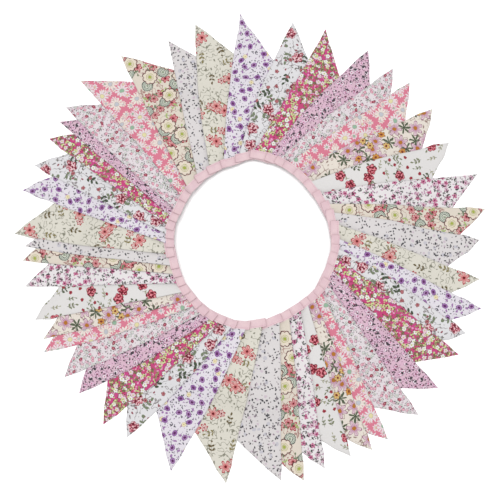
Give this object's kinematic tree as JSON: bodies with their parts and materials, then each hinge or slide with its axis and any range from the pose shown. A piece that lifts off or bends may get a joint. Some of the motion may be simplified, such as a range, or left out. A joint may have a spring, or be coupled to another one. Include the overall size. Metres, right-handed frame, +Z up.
{
  "type": "fabric bunting",
  "caption": "String of double-sided printed cotton pennants on a folded pink bias tape, laid flat and fanned into a closed ring.",
  "frame": {"origin": "middle of the box's underside, on the surface that the bunting lies on", "axes": "+Z up, away from the surface; +Y to the top of the ring as it is pictured, where the first flag points"},
  "size_m": [0.57, 0.571, 0.0307],
  "materials": {
    "print_coral_on_cream": "woven cotton, cream with coral blossoms",
    "print_lilac_blossom": "woven cotton, lilac white with purple blossoms",
    "print_rose_on_pale_blue": "woven cotton, bluish white with pink roses",
    "print_magenta_mosaic": "woven cotton, magenta with tiny flowers",
    "print_lilac_dots": "woven cotton, lilac pink with dark dots",
    "print_pale_ditsy": "woven cotton, pale grey white with tiny flowers",
    "print_pink_daisy": "woven cotton, pink with white daisies",
    "print_cream_lily": "woven cotton, cream with mauve lilies",
    "print_rosebud": "woven cotton, white with crimson rosebuds",
    "print_magenta_blossom": "woven cotton, white with magenta blossoms",
    "print_peach_medallion": "woven cotton, peach with scalloped flowers",
    "print_lilac_fleck": "woven cotton, pale lilac grey with flecks",
    "pink_bias_tape": "folded cotton bias tape, pale pink"
  },
  "bodies": {
    "root": {"flag_01": "print_lilac_blossom", "flag_02": "print_rose_on_pale_blue", "flag_03": "print_magenta_mosaic", "flag_04": "print_lilac_dots", "flag_05": "print_pale_ditsy", "flag_06": "print_pink_daisy", "flag_07": "print_cream_lily", "flag_08": "print_rosebud", "flag_09": "print_magenta_blossom", "flag_10": "print_peach_medallion", "flag_11": "print_lilac_fleck", "flag_12": "print_coral_on_cream", "flag_13": "print_lilac_blossom", "flag_14": "print_rose_on_pale_blue", "flag_15": "print_magenta_mosaic", "flag_16": "print_lilac_dots", "flag_17": "print_pale_ditsy", "flag_18": "print_pink_daisy", "flag_19": "print_cream_lily", "flag_20": "print_rosebud", "flag_21": "print_magenta_blossom", "flag_22": "print_peach_medallion", "flag_23": "print_lilac_fleck", "flag_24": "print_coral_on_cream", "flag_25": "print_lilac_blossom", "flag_26": "print_rose_on_pale_blue", "flag_27": "print_magenta_mosaic", "flag_28": "print_lilac_dots", "flag_29": "print_pale_ditsy", "flag_30": "print_pink_daisy", "flag_31": "print_cream_lily", "flag_32": "print_rosebud", "flag_33": "print_magenta_blossom", "flag_34": "print_peach_medallion", "flag_35": "print_lilac_fleck", "flag_36": "print_coral_on_cream", "flag_37": "print_lilac_blossom", "flag_38": "print_rose_on_pale_blue", "flag_39": "print_magenta_mosaic", "flag_40": "print_lilac_dots", "flag_41": "print_pale_ditsy", "flag_42": "print_pink_daisy", "flag_43": "print_peach_medallion", "flag_44": "print_lilac_fleck", "flag_45": "print_coral_on_cream", "binding_tape": "pink_bias_tape"}
  },
  "joints": []
}
